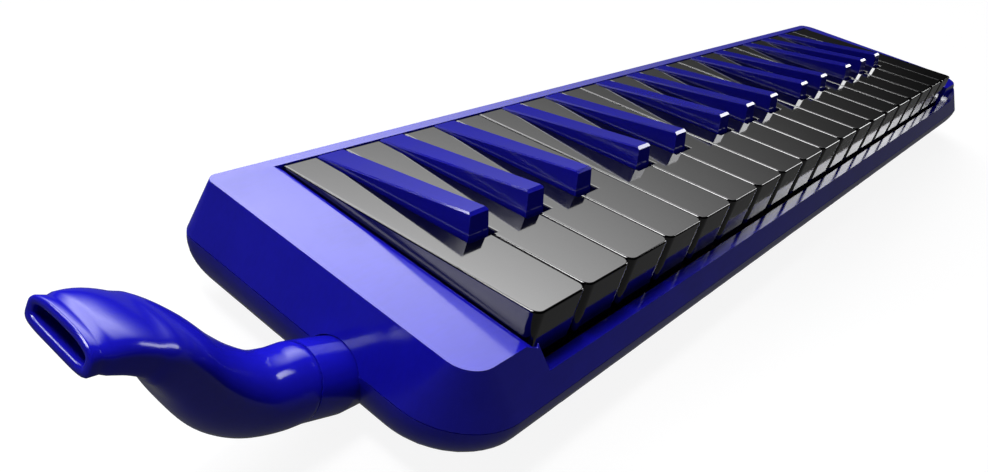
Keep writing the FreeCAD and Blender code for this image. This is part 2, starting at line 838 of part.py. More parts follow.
def upper_case():
    """The upper shell: end panels, rear rim, low front rail and the long keyboard opening."""
    body = new_body("UpperCase")
    low = d.seam + d.seam_gap
    loft(body, [seam_outline(body, low), top_outline(body, 0)])
    opening = rectangle((d.opening_left, d.opening_right), (d.opening_front, d.opening_back))
    pocket(body, [opening], "xy", low - 1, 1 - low + 1)
    rise = 0.0 - d.rail_top
    ramp = [(d.rail_left_top, as_size(0.0)), (d.rail_left, d.rail_top), (d.ramp_start, d.rail_top)]
    steps = 6
    for step in range(1, steps):
        share = step / steps
        ramp.append((d.ramp_start + (d.ramp_end - d.ramp_start) * share, d.rail_top + rise * share ** 2))
    ramp += [(d.ramp_end, as_size(0.0)), (d.ramp_end, as_size(2.0)), (d.rail_left_top, as_size(2.0))]
    pocket(body, [ramp], "xz", -d.opening_front, d.flare_front + 2)
    strip = [(d.opening_left - d.strip_wide, 0), (d.opening_left + 2, -d.strip_drop * (1 + 2 / d.strip_wide)),
             (d.opening_left + 2, 2), (d.opening_left - d.strip_wide, 2)]
    pocket(body, [strip], "xz", -d.opening_back, d.opening_back + 12)
    roof = -d.case_wall
    inner_front = d.top_front - d.flare_front + d.case_wall + 2
    left_low = rectangle((d.top_left - d.flare_left + d.case_wall, d.opening_left - d.case_wall),
                         (inner_front, d.top_back + d.flare_back - d.case_wall))
    left_high = rectangle((d.top_left + d.case_wall, d.opening_left - d.case_wall),
                          (d.top_front + d.case_wall + 2, d.top_back - d.case_wall))
    left_corners = ((17.0, 1.0, 1.0, 6.0), (9.0, 1.0, 1.0, 3.0))
    right_corners = ((1.0, 9.0, 9.0, 1.0), (1.0, 5.0, 5.0, 1.0))
    right_low = [(d.opening_right + d.case_wall, d.opening_front + d.case_wall),
                 (d.top_right_front + d.flare_right - d.case_wall - 8, d.opening_front + d.case_wall),
                 (d.top_right_back + d.flare_right_back - d.case_wall - 1, d.opening_back),
                 (d.opening_right + d.case_wall, d.opening_back)]
    right_high = [(d.opening_right + d.case_wall, d.opening_front + d.case_wall),
                  (d.top_right_front - d.case_wall - 8, d.opening_front + d.case_wall),
                  (d.top_right_back - d.case_wall - 1, d.opening_back),
                  (d.opening_right + d.case_wall, d.opening_back)]
    for low_points, high_points, corners in ((left_low, left_high, left_corners),
                                             (right_low, right_high, right_corners)):
        sections = []
        for z, points, radii in ((low - 0.01, low_points, corners[0]), (roof, high_points, corners[1])):
            sketch = new_sketch(body, "xy", z)
            rounded_polygon(sketch, points, radii)
            sections.append(sketch)
        loft(body, sections, "PartDesign::SubtractiveLoft")
    posts = [rod(d.post_radius, roof - low + 0.5, x, y, low) for x, y in END_BOSSES]
    bores = [rod(d.screw_radius, 9, x, y, low - 0.01) for x, y in END_BOSSES]
    clearance = inlet_rod(d.boss_radius + 0.25, 12, -d.boss_reach - 1)
    shell = cut(fuse(body, *posts), clearance, *bores)
    to_row(shell, "upper_case")


upper_case()


def bowl(body, high, inset, floor, inward, feature="PartDesign::AdditiveLoft"):
    """The lower shell's form: sides that roll under, in a quarter of an oval, to the floor."""
    seam_radii = (19.0, 15.0, 14.0, 7.0)
    floor_radii = (23.0, 11.0, 8.0, 6.0)
    steps = 6
    sections = []
    for step in range(steps + 1):
        angle = math.radians(90.0 * step / steps)
        share = 1 - math.cos(angle)
        radii = [low * share + top * (1 - share) for low, top in zip(floor_radii, seam_radii)]
        z = high - (high - floor) * math.sin(angle)
        sections.append(seam_outline(body, z, inset + inward * share, radii))
    loft(body, sections, feature).Ruled = False


def lower_case():
    """The lower shell: tucked-under sides, flat underside, screw posts and the inlet boss."""
    body = new_body("LowerCase")
    high = d.seam - d.seam_gap
    bowl(body, high, 0, d.case_bottom, d.belly)
    bowl(body, high + 0.01, d.case_wall, d.case_bottom + d.case_wall, d.belly,
         "PartDesign::SubtractiveLoft")
    doc.recompute()
    floor = d.case_bottom + 0.5
    deck_spots = [(x, y, d.deck_bottom) for x in DECK_SCREWS_X for y in DECK_SCREWS_Y]
    end_spots = [(x, y, high) for x, y in END_BOSSES]
    posts = [rod(d.post_radius, top - floor, x, y, floor) for x, y, top in deck_spots + end_spots]
    holes = []
    for x, y, top in deck_spots + end_spots:
        holes.append(rod(d.screw_radius + 0.2, top - d.case_bottom + 1, x, y, d.case_bottom - 0.5))
        holes.append(rod(d.screw_head_radius + 0.3, d.screw_recess + 1, x, y, d.case_bottom - 1))
    boss = fuse(inlet_rod(d.boss_radius, -2, -d.boss_reach),
                inlet_cone(d.boss_root_radius, d.boss_radius, d.boss_root, -2))
    drain_boss = rod(d.drain_boss, d.drain_face - 392, 392, d.drain_y, d.drain_z, Vector(1, 0, 0))
    bore = fuse(inlet_rod(d.socket_outer + 0.05, d.boss_root + 3, -d.boss_reach + SEAT_DEPTH),
                inlet_rod(d.spigot_radius + 0.4, 0, -d.boss_reach - 1))
    drain_bore = rod(d.button_radius + 0.15, 24, 390, d.drain_y, d.drain_z, Vector(1, 0, 0))
    shell = fuse(body, boss, drain_boss, *posts)
    to_row(cut(shell, bore, drain_bore, *holes), "lower_case")


lower_case()
to_row(group([screw(x, y, SCREW_SEAT - d.screw_head_thick, d.seam - SCREW_SEAT + 7,
                    d.screw_head_radius, d.screw_radius - 0.05, d.screw_head_thick)
              for x, y in END_BOSSES]), "case_screws")

# ---------------------------------------------------------------- wind inlet and mouthpiece
RING_INNER = -d.boss_reach + SEAT_DEPTH + 2.1
RING_OUTER = -d.boss_reach + SEAT_DEPTH + 0.1


def inlet_socket():
    """The sleeve in the boss that takes the mouthpiece's spigot."""
    outer = inlet_rod(d.socket_outer, d.boss_root - 0.5, RING_INNER + 0.1)
    seat = inlet_rod(d.spigot_radius + 0.05, 3.0, RING_INNER - 1)
    bore = inlet_rod(d.duct_radius, d.boss_root + 1, 0)
    to_row(cut(outer, seat, bore), "inlet_socket")


inlet_socket()
to_row(cut(inlet_rod(d.socket_outer - 0.05, RING_INNER, RING_OUTER),
           inlet_rod(d.spigot_radius + 0.06, RING_INNER + 1, RING_OUTER - 1)), "socket_seal_ring")


def oval(half_wide, half_high, centre, tilt):
    """An upright oval whose axis lies in the x-z plane, tilted up towards -X."""
    ring = doc.addObject("Part::Ellipse", "Oval")
    wide = as_size(half_wide)
    high = as_size(half_high)
    if wide.value < high.value + 0.001:
        wide = high + 0.001
    bind(ring, "MajorRadius", wide)
    bind(ring, "MinorRadius", high)
    turn = FreeCAD.Rotation(Vector(0, 1, 0), tilt - 90.0) * FreeCAD.Rotation(Vector(0, 0, 1), 90)
    ring.Placement = FreeCAD.Placement(Vector(), turn)
    return place(ring, *centre)


def lofted(ovals):
    solid = doc.addObject("Part::Loft", "Lofted")
    solid.Sections = ovals
    solid.Solid = True
    solid.Ruled = False
    return solid


DUCT_START = inlet_point(d.boss_root - 0.5)


def wind_duct():
    """The duct from the inlet socket to the chamber's end wall, round to flat."""
    end = (d.tray_left, d.inlet_y, d.duct_end_z)
    mid = tuple((first + last) / 2 for first, last in zip(DUCT_START, end))
    shapes = []
    for grow in (0.8, 0):
        shapes.append(lofted([
            oval(d.duct_radius + grow, d.duct_radius + grow, DUCT_START, d.inlet_tilt.value),
            oval(d.duct_radius + 1.2 + grow, d.duct_radius - 1.1 + grow, mid, 10.0),
            oval(6.2 + grow, 1.5 + grow, end, 0.0)]))
    to_row(cut(*shapes), "wind_duct")


wind_duct()

# Centreline of the mouthpiece in the x-z plane, tilt of its section, half width and half height.
MOUTHPIECE = [
    (-37.2, -16.1, 17.8, 8.8, 8.8),
    (-43.0, -15.1, 18.0, 8.7, 8.7),
    (-50.0, -12.3, 29.0, 8.8, 8.4),
    (-57.0, -6.8, 41.0, 9.1, 7.9),
    (-63.0, -0.4, 49.0, 9.3, 7.0),
    (-68.4, 6.6, 50.0, 9.5, 6.0),
    (-73.6, 12.4, 41.0, 9.7, 5.1),
    (-79.4, 16.6, 26.0, 9.9, 4.2),
    (-86.6, 19.4, 13.0, 10.0, 3.5),
]


def mouthpiece():
    """The curved mouthpiece: round at the socket, flattening to a wide tip, hollow throughout."""
    outer, inner = [], []
    for number, (x, z, tilt, half_wide, half_high) in enumerate(MOUTHPIECE):
        outer.append(oval(half_wide, half_high, (x, d.inlet_y, z), tilt))
        if number:
            wall = d.mouth_wall
            inner.append(oval(half_wide - wall, half_high - wall, (x, d.inlet_y, z), tilt))
    spigot = inlet_rod(d.spigot_radius, -d.boss_reach + d.spigot_long, -d.boss_reach - 2)
    bore = inlet_rod(d.spigot_bore, -d.boss_reach + d.spigot_long + 1, -d.boss_reach - 8)
    to_row(cut(fuse(lofted(outer), spigot), lofted(inner), bore), "mouthpiece")


mouthpiece()

# ---------------------------------------------------------------- drain valve
TRAY_INNER_RIGHT = d.tray_right - d.tray_wall


def along_x(radius, low, high):
    return rod(radius, as_size(high) - low, low, d.drain_y, d.drain_z, Vector(1, 0, 0))


def drain_valve():
    """Push button on the right end, its spring, and the seal inside the chamber."""
    cap = along_x(d.button_radius, d.drain_face - 10, d.drain_face + d.drain_travel + 0.8)
    stem = along_x(d.stem_radius, TRAY_INNER_RIGHT - 3.2, d.drain_face - 9)
    to_row(fuse(cap, stem), "drain_button")
    seal = cut(along_x(d.drain_hole + d.drain_seal_over, TRAY_INNER_RIGHT - 1.6, TRAY_INNER_RIGHT - 0.05),
               along_x(d.stem_radius, TRAY_INNER_RIGHT - 3, TRAY_INNER_RIGHT + 1))
    to_row(seal, "drain_seal")
    coil = doc.addObject("Part::Helix", "CoilPath")
    bind(coil, "Pitch", d.coil_pitch)
    bind(coil, "Height", d.coil_pitch * 6)
    bind(coil, "Radius", d.coil_radius)
    wire = doc.addObject("Part::Circle", "CoilWire")
    bind(wire, "Radius", d.coil_wire)
    wire.Placement = FreeCAD.Placement(Vector(), FreeCAD.Rotation(Vector(1, 0, 0), 90))
    place(wire, d.coil_radius, 0, 0)
    spring = doc.addObject("Part::Sweep", "Coil")
    spring.Sections = [wire]
    spring.Spine = (coil, [])
    spring.Solid = True
    spring.Frenet = True
    turned = doc.addObject("Part::Compound", "CoilTurned")
    turned.Links = [spring]
    spring.Placement = FreeCAD.Placement(Vector(), FreeCAD.Rotation(Vector(0, 0, 1), Vector(1, 0, 0)))
    place(spring, d.tray_right + 0.5, d.drain_y, d.drain_z)
    to_row(turned, "drain_spring")


drain_valve()

# ---------------------------------------------------------------- checks and export
doc.recompute()
for item in doc.Objects:
    if item.isValid() is False or "Invalid" in item.State or "Error" in item.State:
        raise RuntimeError(f"{item.Name} ({item.Label}) failed: {item.State}")
for node in nodes:
    if node.Shape.isNull() or not node.Shape.isValid():
        raise RuntimeError(node.Label + " has no valid shape")
for node in nodes:
    node.Shape.exportStep(f"parts/{node.Label}.step")
    print(node.Label, len(node.Shape.Solids), round(node.Shape.Volume))
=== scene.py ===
import json
import math
import bmesh
import bpy
from mathutils import Matrix, Vector


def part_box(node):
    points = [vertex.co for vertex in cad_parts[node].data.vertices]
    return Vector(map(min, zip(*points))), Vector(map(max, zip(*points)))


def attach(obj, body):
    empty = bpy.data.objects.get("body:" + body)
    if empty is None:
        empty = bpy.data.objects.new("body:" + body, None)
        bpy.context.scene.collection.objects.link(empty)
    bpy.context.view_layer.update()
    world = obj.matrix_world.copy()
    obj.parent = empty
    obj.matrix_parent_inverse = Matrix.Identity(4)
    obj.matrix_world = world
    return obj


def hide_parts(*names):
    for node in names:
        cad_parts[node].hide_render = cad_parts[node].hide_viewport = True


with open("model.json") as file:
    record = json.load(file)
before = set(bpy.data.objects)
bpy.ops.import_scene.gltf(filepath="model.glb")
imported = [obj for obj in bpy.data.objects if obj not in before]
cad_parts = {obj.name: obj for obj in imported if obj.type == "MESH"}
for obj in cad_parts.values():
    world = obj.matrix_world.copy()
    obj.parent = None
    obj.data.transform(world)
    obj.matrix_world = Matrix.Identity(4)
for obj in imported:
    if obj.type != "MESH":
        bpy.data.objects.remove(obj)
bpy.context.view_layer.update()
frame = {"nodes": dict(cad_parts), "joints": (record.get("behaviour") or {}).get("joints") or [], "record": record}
scene = bpy.context.scene
scene.view_settings.view_transform = "Standard"
MM = 0.001                      # a millimetre in the frame's metres

# ---------------------------------------------------------------- camera
SENSOR_WIDE, LENS = 36.0, 32.13
NEAREST, FARTHEST = 0.01, 60.0
CAMERA_AT = Vector((-0.32918, -0.10906, 0.14236))
CAMERA_RIGHT = Vector((0.6134, -0.7503, 0.2456))
CAMERA_UP = Vector((0.2671, 0.4903, 0.8296))


def make_camera():
    """Stands low beyond the mouthpiece and looks along the keyboard, rolled a little."""
    data = bpy.data.cameras.new("Camera")
    data.lens, data.sensor_width = LENS, SENSOR_WIDE
    data.clip_start, data.clip_end = NEAREST, FARTHEST
    camera = bpy.data.objects.new("Camera", data)
    scene.collection.objects.link(camera)
    right = CAMERA_RIGHT.normalized()
    back = right.cross(CAMERA_UP).normalized()
    turn = Matrix((right, back.cross(right), back)).transposed()
    camera.matrix_world = Matrix.Translation(CAMERA_AT) @ turn.to_4x4()
    scene.camera = camera


make_camera()


# ---------------------------------------------------------------- node helpers
def add(tree, kind, inputs=None, **settings):
    """A node of that kind with its settings and inputs; an input is a value or another node's socket."""
    node = tree.nodes.new(kind)
    for key, value in settings.items():
        setattr(node, key, value)
    for key, value in (inputs or {}).items():
        if isinstance(value, bpy.types.NodeSocket):
            tree.links.new(value, node.inputs[key])
        else:
            node.inputs[key].default_value = value
    return node


def math_node(tree, operation, first, second=0.0, clamp=False):
    sockets = {0: first, 1: second}
    return add(tree, "ShaderNodeMath", sockets, operation=operation, use_clamp=clamp).outputs[0]


def times(tree, first, second, clamp=False):
    return math_node(tree, "MULTIPLY", first, second, clamp)


def plus(tree, first, second):
    return math_node(tree, "ADD", first, second)


def vector_math(tree, operation, first, second=(0, 0, 0), out="Vector"):
    return add(tree, "ShaderNodeVectorMath", {0: first, 1: second}, operation=operation).outputs[out]


def spread(tree, value, low, high, to_low=0.0, to_high=1.0):
    """Maps low..high onto to_low..to_high, clamped."""
    sockets = {"Value": value, "From Min": low, "From Max": high, "To Min": to_low, "To Max": to_high}
    return add(tree, "ShaderNodeMapRange", sockets).outputs["Result"]


def noise(tree, vector, scale, detail, rough):
    """Cloudy noise; scale is in cells per metre."""
    sockets = {"Vector": vector, "Scale": scale, "Detail": detail, "Roughness": rough}
    return add(tree, "ShaderNodeTexNoise", sockets).outputs["Fac"]


def mix_colour(tree, share, first, second):
    return add(tree, "ShaderNodeMix", {"Factor": share, "A": first, "B": second}, data_type="RGBA")


def mix_shader(tree, share, first, second):
    """From the first shader node to the second, by that share."""
    return add(tree, "ShaderNodeMixShader", {0: share, 1: first.outputs[0], 2: second.outputs[0]})


def group(name, inputs, outputs):
    """A shader node group; inputs and outputs are {socket name: default value}."""
    tree = bpy.data.node_groups.new(name, "ShaderNodeTree")
    for way, sockets in (("INPUT", inputs), ("OUTPUT", outputs)):
        for label, value in sockets.items():
            socket = tree.interface.new_socket(name=label, in_out=way, socket_type="NodeSocketFloat")
            socket.default_value = value
    here = tree.nodes.new("NodeGroupInput")
    there = tree.nodes.new("NodeGroupOutput")
    place = tree.nodes.new("ShaderNodeTexCoord").outputs["Object"]
    return tree, here.outputs, there.inputs, place


# ---------------------------------------------------------------- effects shared by the finishes
# How fine each pattern is, in cells per metre.
PEEL, SPARK_PITS, DRAWN_LINES, WOOL = 900.0, 2200.0, 1500.0, 1800.0
RUB_PATCHES, TARNISH_CLOUDS = 420.0, 90.0


def make_handling():
    """Faint finger marks and wiping streaks: a slow cloud with finer smears in it."""
    tree, given, out, place = group("Handling marks", {"Scale": 60.0, "Low": 0.1, "High": 0.2},
                                    {"Roughness": 0.1, "Mask": 0.0})
    cloud = noise(tree, place, given["Scale"], 4.0, 0.6)
    smear_place = vector_math(tree, "MULTIPLY", place, (1.0, 5.0, 2.0))
    smears = noise(tree, smear_place, times(tree, given["Scale"], 4.0), 2.0, 0.5)
    both = plus(tree, times(tree, cloud, 0.7), times(tree, smears, 0.3))
    mask = spread(tree, both, 0.38, 0.62)
    tree.links.new(mask, out["Mask"])
    tree.links.new(spread(tree, mask, 0.0, 1.0, given["Low"], given["High"]), out["Roughness"])
    return tree


def make_moulded_skin():
    """The faint orange peel of a gloss moulding, with a slower ripple under it."""
    tree, given, out, place = group("Moulded skin", {"Scale": PEEL}, {"Height": 0.5})
    peel = noise(tree, place, given["Scale"], 2.0, 0.4)
    ripple = noise(tree, place, times(tree, given["Scale"], 0.12), 1.0, 0.3)
    tree.links.new(plus(tree, times(tree, peel, 0.4), ripple), out["Height"])
    return tree


def make_spark_texture():
    """The eroded texture of a matt mould: small round-edged pits."""
    tree, given, out, place = group("Spark texture", {"Scale": SPARK_PITS}, {"Height": 0.5, "Mask": 0.0})
    sockets = {"Vector": place, "Scale": given["Scale"]}
    pits = add(tree, "ShaderNodeTexVoronoi", sockets, feature="SMOOTH_F1").outputs["Distance"]
    grain = noise(tree, place, times(tree, given["Scale"], 0.6), 3.0, 0.6)
    height = plus(tree, times(tree, pits, 0.6), times(tree, grain, 0.4))
    tree.links.new(height, out["Height"])
    tree.links.new(spread(tree, height, 0.3, 0.6), out["Mask"])
    return tree


def make_edge_rub():
    """Where edges and corners are rubbed: the rounded normal turns away from the true one there."""
    tree, given, out, place = group("Edge rub", {"Radius": 0.5 * MM, "Amount": 0.5}, {"Mask": 0.0})
    soft = add(tree, "ShaderNodeBevel", {"Radius": given["Radius"]}, samples=4).outputs["Normal"]
    hard = tree.nodes.new("ShaderNodeNewGeometry").outputs["Normal"]
    turn = math_node(tree, "SUBTRACT", 1.0, vector_math(tree, "DOT_PRODUCT", soft, hard, "Value"))
    broken = spread(tree, noise(tree, place, RUB_PATCHES, 4.0, 0.7), 0.42, 0.6)
    edge = spread(tree, turn, 0.02, 0.2)
    rubbed = times(tree, times(tree, edge, broken), given["Amount"], True)
    tree.links.new(rubbed, out["Mask"])
    return tree


def make_brushing():
    """Fine drawn lines along the length of the instrument, with slow tarnish clouds."""
    tree, given, out, place = group("Brushing", {"Scale": DRAWN_LINES}, {"Height": 0.5, "Tarnish": 0.0})
    drawn = vector_math(tree, "MULTIPLY", place, (0.04, 1.0, 1.0))
    tree.links.new(noise(tree, drawn, given["Scale"], 4.0, 0.7), out["Height"])
    clouds = noise(tree, place, TARNISH_CLOUDS, 5.0, 0.65)
    tree.links.new(spread(tree, clouds, 0.45, 0.7), out["Tarnish"])
    return tree


def make_fibres():
    """Matted wool fibres: two stretched noises that cross."""
    tree, given, out, place = group("Fibres", {"Scale": WOOL}, {"Height": 0.5, "Mask": 0.0})
    layers = []
    for stretch in ((0.2, 1.0, 1.0), (1.0, 0.25, 1.0)):
        drawn = vector_math(tree, "MULTIPLY", place, stretch)
        layers.append(noise(tree, drawn, given["Scale"], 4.0, 0.7))
    height = math_node(tree, "MAXIMUM", *layers)
    tree.links.new(height, out["Height"])
    tree.links.new(spread(tree, height, 0.4, 0.75), out["Mask"])
    return tree


HANDLING = make_handling()
SKIN = make_moulded_skin()
SPARK = make_spark_texture()
RUB = make_edge_rub()
BRUSHING = make_brushing()
FIBRES = make_fibres()


# ---------------------------------------------------------------- finishes
# How deep each finish's relief is.
PEEL_DEEP, DRAWN_DEEP, SPARK_DEEP = 0.004 * MM, 0.006 * MM, 0.02 * MM
RUBBER_DEEP, WOOL_DEEP = 0.04 * MM, 0.12 * MM
PLASTIC_IOR = 1.5


def new_finish(name):
    finish = bpy.data.materials.new(name)
    finish.use_nodes = True
    tree = finish.node_tree
    return finish, tree, tree.nodes["Principled BSDF"]


def effect(tree, shared, **values):
    node = tree.nodes.new("ShaderNodeGroup")
    node.node_tree = shared
    for label, value in values.items():
        node.inputs[label].default_value = value
    return node.outputs


def set_bump(tree, shader, height, depth):
    """Surface relief of that depth in metres."""
    sockets = {"Strength": 1.0, "Distance": depth, "Height": height}
    tree.links.new(add(tree, "ShaderNodeBump", sockets).outputs["Normal"], shader.inputs["Normal"])


def set_colour(tree, shader, *layers):
    """Base colour: the first layer, then (mask, colour) pairs laid over it."""
    colour = layers[0]
    for mask, over in layers[1:]:
        colour = mix_colour(tree, mask, colour, over).outputs["Result"]
    tree.links.new(colour, shader.inputs["Base Color"])


def gloss_plastic(name, colour, worn, gloss, level):
    """Polished moulded plastic: handling marks in the gloss, orange peel, edges rubbed a little paler."""
    finish, tree, shader = new_finish(name)
    marks = effect(tree, HANDLING, Scale=55.0, Low=gloss[0], High=gloss[1])
    rub = effect(tree, RUB, Radius=0.5 * MM, Amount=0.35)
    deeper = tuple(part * 0.88 for part in colour[:3]) + (1.0,)
    set_colour(tree, shader, colour, (marks["Mask"], deeper), (rub["Mask"], worn))
    rough = plus(tree, marks["Roughness"], times(tree, rub["Mask"], 0.12))
    tree.links.new(rough, shader.inputs["Roughness"])
    shader.inputs["IOR"].default_value = PLASTIC_IOR
    shader.inputs["Specular IOR Level"].default_value = level
    set_bump(tree, shader, effect(tree, SKIN, Scale=PEEL)["Height"], PEEL_DEEP)
    return finish


def matt_plastic(name, colour, worn):
    """Spark-textured moulding, a little shinier where it is rubbed."""
    finish, tree, shader = new_finish(name)
    spark = effect(tree, SPARK, Scale=SPARK_PITS)
    rub = effect(tree, RUB, Radius=0.6 * MM, Amount=0.7)
    pale = tuple(min(1.0, part * 1.5 + 0.004) for part in colour[:3]) + (1.0,)
    set_colour(tree, shader, colour, (spark["Mask"], pale), (rub["Mask"], worn))
    rough = math_node(tree, "SUBTRACT", spread(tree, spark["Mask"], 0.0, 1.0, 0.5, 0.66),
                      times(tree, rub["Mask"], 0.2))
    tree.links.new(rough, shader.inputs["Roughness"])
    set_bump(tree, shader, spark["Height"], SPARK_DEEP)
    return finish


def drawn_metal(name, colour, tarnish, gloss):
    """Drawn or brushed metal: lines along its length and cloudy tarnish."""
    finish, tree, shader = new_finish(name)
    lines = effect(tree, BRUSHING, Scale=DRAWN_LINES)
    marks = effect(tree, HANDLING, Scale=110.0, Low=gloss[0], High=gloss[1])
    rub = effect(tree, RUB, Radius=0.3 * MM, Amount=0.6)
    bright = tuple(min(1.0, part * 1.2) for part in colour[:3]) + (1.0,)
    set_colour(tree, shader, colour, (lines["Tarnish"], tarnish), (rub["Mask"], bright))
    tree.links.new(marks["Roughness"], shader.inputs["Roughness"])
    shader.inputs["Metallic"].default_value = 1.0
    set_bump(tree, shader, lines["Height"], DRAWN_DEEP)
    return finish


def wool_felt(name, colour, pale):
    """Pressed wool: crossing fibres and a soft sheen."""
    finish, tree, shader = new_finish(name)
    fibres = effect(tree, FIBRES, Scale=WOOL)
    set_colour(tree, shader, colour, (fibres["Mask"], pale))
    shader.inputs["Roughness"].default_value = 0.95
    shader.inputs["Sheen Weight"].default_value = 0.5
    set_bump(tree, shader, fibres["Height"], WOOL_DEEP)
    return finish


def soft_rubber(name, colour, bloom, cells):
    """Rubber with fine cells and a grey bloom in patches."""
    finish, tree, shader = new_finish(name)
    spark = effect(tree, SPARK, Scale=cells)
    marks = effect(tree, HANDLING, Scale=130.0, Low=0.55, High=0.8)
    set_colour(tree, shader, colour, (marks["Mask"], bloom))
    tree.links.new(marks["Roughness"], shader.inputs["Roughness"])
    set_bump(tree, shader, spark["Height"], RUBBER_DEEP)
    return finish


def tone(red, green, blue):
    return (red, green, blue, 1.0)


def grey(level):
    return tone(level, level, level)


CASE_BLUE, KEY_BLUE, BLUE_WORN = tone(0.012, 0.010, 0.62), tone(0.010, 0.009, 0.46), tone(0.05, 0.05, 0.78)
KEY_BLACK = tone(0.0015, 0.0015, 0.0018)

# One finish for each material slot. A pair is the roughness of clean and of handled patches.
FINISHES = {
    "case_plastic": gloss_plastic("Blue case gloss", CASE_BLUE, BLUE_WORN, (0.10, 0.17), 0.5),
    "sharp_plastic": gloss_plastic("Blue key gloss", KEY_BLUE, BLUE_WORN, (0.07, 0.12), 0.9),
    "natural_plastic": gloss_plastic("Black key gloss", KEY_BLACK, tone(0.02, 0.02, 0.022),
                                     (0.05, 0.09), 1.0),
    "button_plastic": gloss_plastic("Black button gloss", KEY_BLACK, grey(0.03), (0.12, 0.2), 0.5),
    "deck_plastic": matt_plastic("Black deck moulding", tone(0.012, 0.012, 0.013), grey(0.03)),
    "chamber_plastic": matt_plastic("Grey chamber moulding", tone(0.03, 0.03, 0.034), grey(0.07)),
    "steel": drawn_metal("Bright drawn steel", tone(0.60, 0.60, 0.62), tone(0.42, 0.41, 0.40), (0.2, 0.34)),
    "spring_steel": drawn_metal("Blued spring steel", tone(0.34, 0.36, 0.42), tone(0.30, 0.26, 0.20),
                                (0.24, 0.38)),
    "brass": drawn_metal("Brushed plate brass", tone(0.72, 0.53, 0.24), tone(0.46, 0.33, 0.15), (0.24, 0.4)),
    "reed_brass": drawn_metal("Reed bronze", tone(0.80, 0.58, 0.30), tone(0.62, 0.40, 0.2), (0.16, 0.3)),
    "felt": wool_felt("Red wool felt", tone(0.22, 0.012, 0.016), tone(0.36, 0.04, 0.045)),
    "gasket": soft_rubber("Cell foam", tone(0.03, 0.03, 0.032), grey(0.06), 1400.0),
    "seal_rubber": soft_rubber("Seal rubber", grey(0.012), grey(0.03), 4200.0),
}


def finish_cad_nodes():
    """Every carried-over node takes the finish of its slot."""
    for row in frame["record"]["subparts"]:
        slots = frame["nodes"][row["node"]].data.materials
        slots.clear()
        slots.append(FINISHES[row["material_slot"]])


finish_cad_nodes()


# ---------------------------------------------------------------- softened edges of the upper shell
WELD_WITHIN = 0.002 * MM
FLAT_WITHIN = math.radians(0.6)     # faces closer in direction than this count as one flat face
SHARP_OVER = math.radians(28.0)     # edges that turn more than this are rounded
ROUND_WIDE, ROUND_SEGMENTS = 0.45 * MM, 3
LARGE_FACE_WEIGHT = 80              # of 100: how far large faces set the shading


def soften(node):
    """Breaks a moulded shell's sharp edges with a small round."""
    piece = frame["nodes"][node]
    weld = piece.modifiers.new("Weld", "WELD")
    weld.merge_threshold = WELD_WITHIN
    flat = piece.modifiers.new("Flats", "DECIMATE")
    flat.decimate_type = "DISSOLVE"
    flat.angle_limit = FLAT_WITHIN
    bevel = piece.modifiers.new("Edge round", "BEVEL")
    bevel.width, bevel.segments = ROUND_WIDE, ROUND_SEGMENTS
    bevel.limit_method, bevel.angle_limit = "ANGLE", SHARP_OVER
    bevel.harden_normals = False
    bevel.use_clamp_overlap = True
    even = piece.modifiers.new("Even shading", "WEIGHTED_NORMAL")
    even.weight, even.keep_sharp = LARGE_FACE_WEIGHT, False


soften("upper_case")


# ---------------------------------------------------------------- mouthpiece
# Stations along the tube, from the case to the lip: centre x and z in metres, half width and half height
# in mm, and how flat the underside is.
TUBE = [
    (-0.2272, 0.0149, 8.8, 8.8, 0.0),
    (-0.2330, 0.0159, 8.7, 8.7, 0.0),
    (-0.2400, 0.0187, 8.8, 8.4, 0.0),
    (-0.2470, 0.0243, 9.1, 7.9, 0.1),
    (-0.2528, 0.0310, 9.4, 7.0, 0.3),
    (-0.2578, 0.0382, 9.7, 5.9, 0.6),
    (-0.2630, 0.0440, 9.9, 4.8, 0.85),
    (-0.2692, 0.0482, 9.5, 3.8, 1.0),
    (-0.2760, 0.0502, 8.7, 2.9, 1.0),
]
AROUND = 72                     # points round the tube
ARCH_SQUARED, BASE_SQUARED = 0.5, 3.2   # how far a fully flat section squares its top and its underside
PER_SPAN = 7                    # rings between two stations
WALL = 1.5                      # wall of the tube, mm
SPIGOT_LONG, SPIGOT_RADIUS, SPIGOT_BORE, SPIGOT_CHAMFER = 14.0, 4.6, 3.3, 0.6   # mm
SHOULDER = ((0.12, 0.12), (0.2, 0.45))  # the rounded end at the case: how far back, how much smaller, mm
CREASE_AT, CREASE_DROP = 6.2, 0.5       # station of the crease behind the lip, and its depth in mm
CREASE_STEEP, CREASE_EASE = 6.0, 0.9    # how fast it drops and how fast it fades, per station
BEAD = 0.25                     # size of the rolled bead round the mouth, mm
BEAD_STEPS = 6                  # steps round the bead's half circle
BEAD_AHEAD, BEAD_BACK, BEAD_END = 0.55, 1.3, 2.0    # how far it reaches ahead of and behind the lip, mm
BEAD_COVERS = 3                 # rings of the skin that the bead's rings stand in for
BORE_OPENS, BORE_OPEN_OVER = 0.5, 1.2   # station where the bore starts to widen, and over how many it does


def spline(values, place):
    """Smooth value at a fractional station number (Catmull-Rom)."""
    last = len(values) - 1
    here = min(int(place), last - 1)
    share = place - here
    near = [values[max(0, min(last, here + step))] for step in (-1, 0, 1, 2)]
    if here == 0:
        near[0] = 2 * near[1] - near[2]
    if here == last - 1:
        near[3] = 2 * near[2] - near[1]
    before, start, end, after = near
    return 0.5 * (2 * start + (end - before) * share
                  + (2 * before - 5 * start + 4 * end - after) * share ** 2
                  + (3 * start - before - 3 * end + after) * share ** 3)


def station(place):
    x, z, wide, high, flat = (spline([row[column] for row in TUBE], place) for column in range(5))
    return Vector((x, TUBE_Y, z)), wide, high, flat


def tangent(place):
    """Direction of the centreline towards the lip."""
    step = 0.02
    after, before = station(min(place + step, len(TUBE) - 1))[0], station(max(place - step, 0))[0]
    return (after - before).normalized()


def power(value, exponent):
    return math.copysign(abs(value) ** exponent, value)


